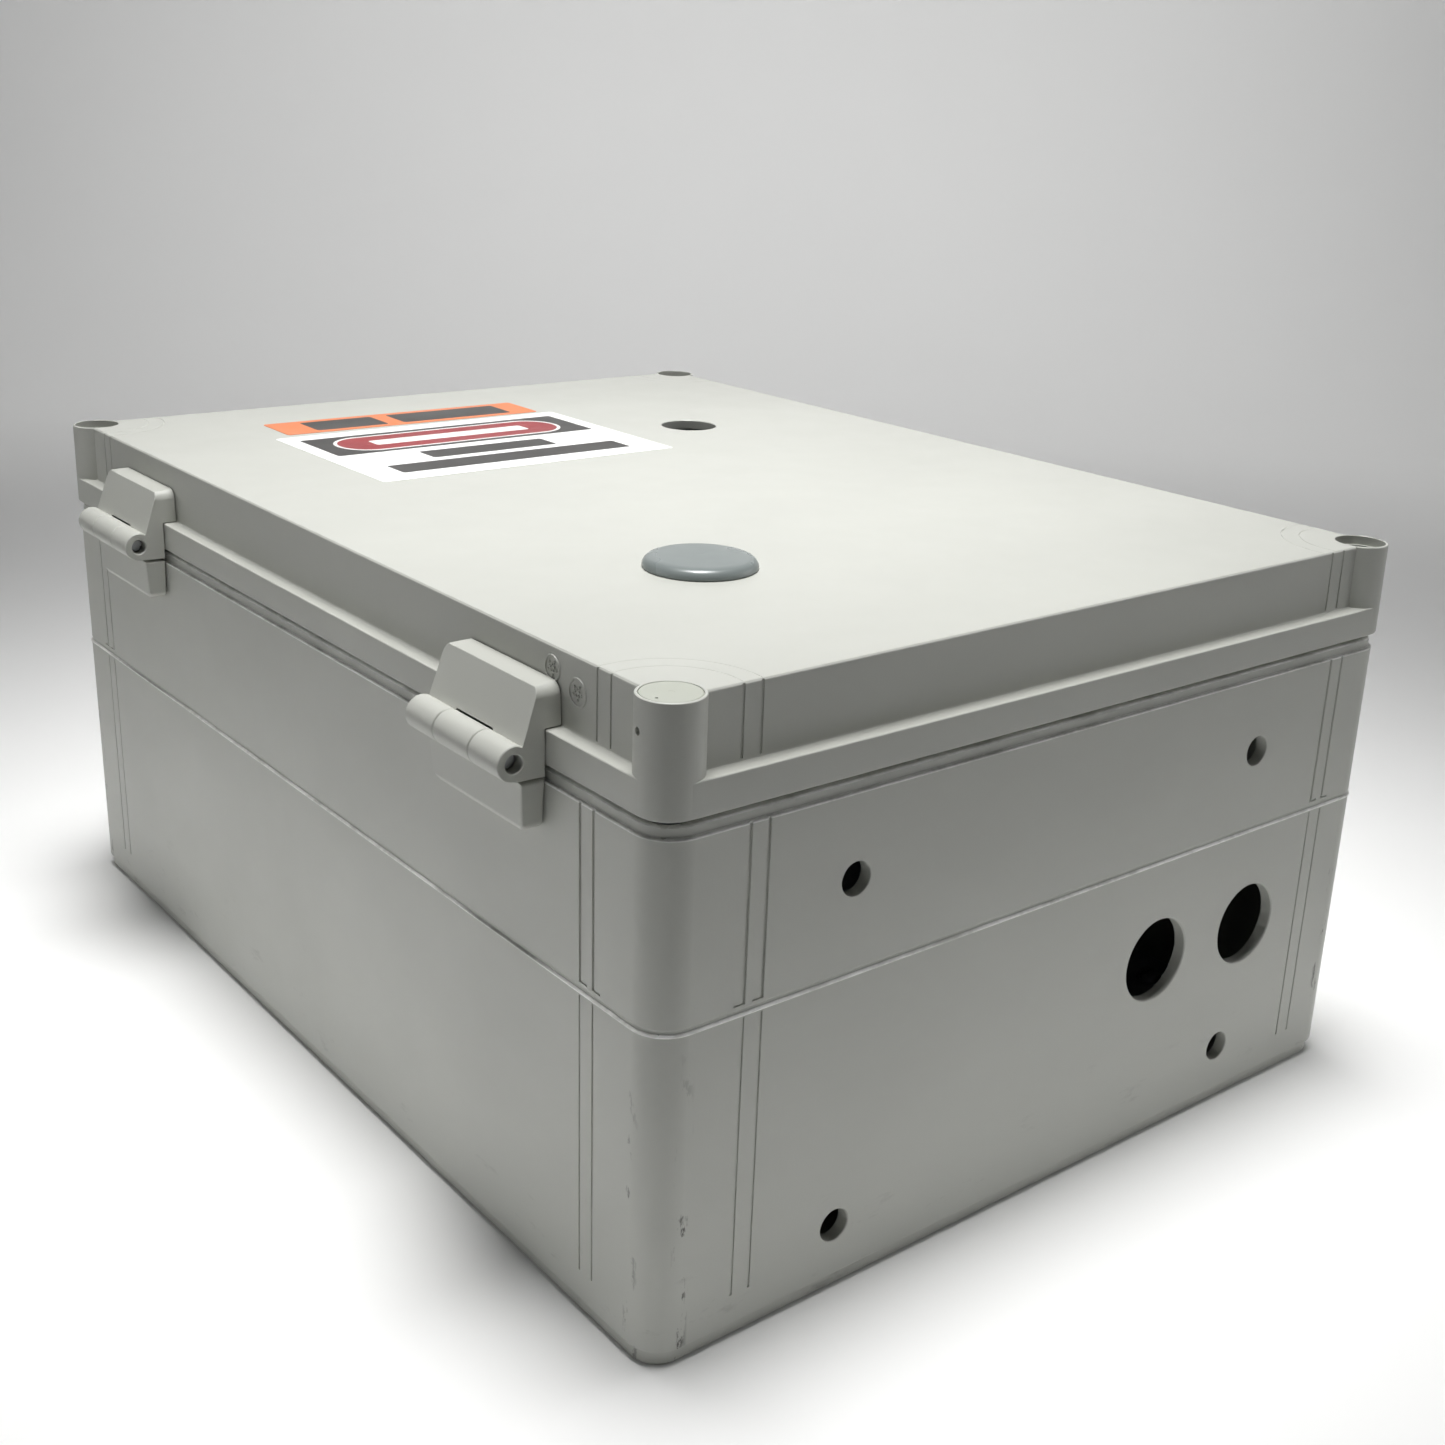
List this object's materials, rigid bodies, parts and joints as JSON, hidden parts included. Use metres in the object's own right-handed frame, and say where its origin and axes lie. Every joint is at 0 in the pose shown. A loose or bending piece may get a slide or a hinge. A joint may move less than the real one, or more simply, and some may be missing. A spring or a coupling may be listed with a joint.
{
  "type": "ac disconnect box",
  "caption": "Deep moulded wall enclosure with a side-hinged screw-down cover, conduit entries and a rail-mounted disconnect switch inside.",
  "frame": {"origin": "centre of the flat rear face of the base, on the wall plane", "axes": "+Z out of the wall through the cover, +Y up the wall, +X to the right seen from the front; hinges on the -X side, conduit entries on the -Y side"},
  "size_m": [0.3144, 0.4, 0.1911],
  "materials": {
    "housing": "light grey moulded polycarbonate, fine satin texture",
    "plug": "grey glossy moulded plug",
    "cap": "grey-green moulded cap",
    "gasket": "black foamed seal",
    "orange_label": "orange laminated vinyl",
    "white_label": "white laminated vinyl with a black header",
    "screw": "zinc plated steel",
    "steel": "galvanised sheet",
    "brass": "plain brass bar",
    "switch_case": "off-white moulded switch case",
    "lever": "black moulded lever",
    "support": "blue insulating support"
  },
  "bodies": {
    "enclosure": {"base": "housing", "hinge_base_leaf_1": "housing", "hinge_base_leaf_2": "housing", "hinge_pin_1": "screw", "hinge_pin_2": "screw", "plate_screw_1": "screw", "plate_screw_2": "screw", "plate_screw_3": "screw", "plate_screw_4": "screw", "rail_screw_1": "screw", "rail_screw_2": "screw", "terminal_screw_1": "screw", "terminal_screw_2": "screw", "terminal_screw_3": "screw", "terminal_screw_4": "screw", "neutral_screw_1": "screw", "neutral_screw_2": "screw", "neutral_screw_3": "screw", "neutral_screw_4": "screw", "ground_screw_1": "screw", "ground_screw_2": "screw", "ground_screw_3": "screw", "ground_screw_4": "screw", "mounting_plate": "steel", "din_rail": "steel", "switch_body": "switch_case", "neutral_bar": "brass", "ground_bar": "brass", "neutral_support_1": "support", "neutral_support_2": "support"},
    "cover_assembly": {"cover": "housing", "cover_gasket": "gasket", "hinge_cover_leaf_1": "housing", "hinge_cover_leaf_2": "housing", "hole_plug": "plug", "post_cap": "cap", "voltage_label": "orange_label", "warning_label": "white_label"},
    "switch_lever_body": {"switch_lever": "lever"},
    "cover_screw_body_1": {"cover_screw_1": "screw"},
    "cover_screw_body_2": {"cover_screw_2": "screw"},
    "cover_screw_body_3": {"cover_screw_3": "screw"},
    "cover_screw_body_4": {"cover_screw_4": "screw"}
  },
  "joints": [
    {"name": "cover_hinge", "type": "hinge", "parent": "enclosure", "child": "cover_assembly", "pos_m": [-0.1595, 0, 0.1593], "axis": [0, -1, 0], "range_deg": [0, 180]},
    {"name": "switch_throw", "type": "hinge", "parent": "enclosure", "child": "switch_lever_body", "pos_m": [0, 0.04, 0.0772], "axis": [-1, 0, 0], "range_deg": [0, 80]},
    {"name": "cover_screw_turn_1", "type": "hinge", "parent": "cover_assembly", "child": "cover_screw_body_1", "pos_m": [-0.141, -0.191, 0.1651], "axis": [0, 0, 1], "range_deg": [0, 90]},
    {"name": "cover_screw_turn_2", "type": "hinge", "parent": "cover_assembly", "child": "cover_screw_body_2", "pos_m": [0.141, -0.191, 0.1651], "axis": [0, 0, 1], "range_deg": [0, 90]},
    {"name": "cover_screw_turn_3", "type": "hinge", "parent": "cover_assembly", "child": "cover_screw_body_3", "pos_m": [0.141, 0.191, 0.1651], "axis": [0, 0, 1], "range_deg": [0, 90]},
    {"name": "cover_screw_turn_4", "type": "hinge", "parent": "cover_assembly", "child": "cover_screw_body_4", "pos_m": [-0.141, 0.191, 0.1651], "axis": [0, 0, 1], "range_deg": [0, 90]}
  ]
}
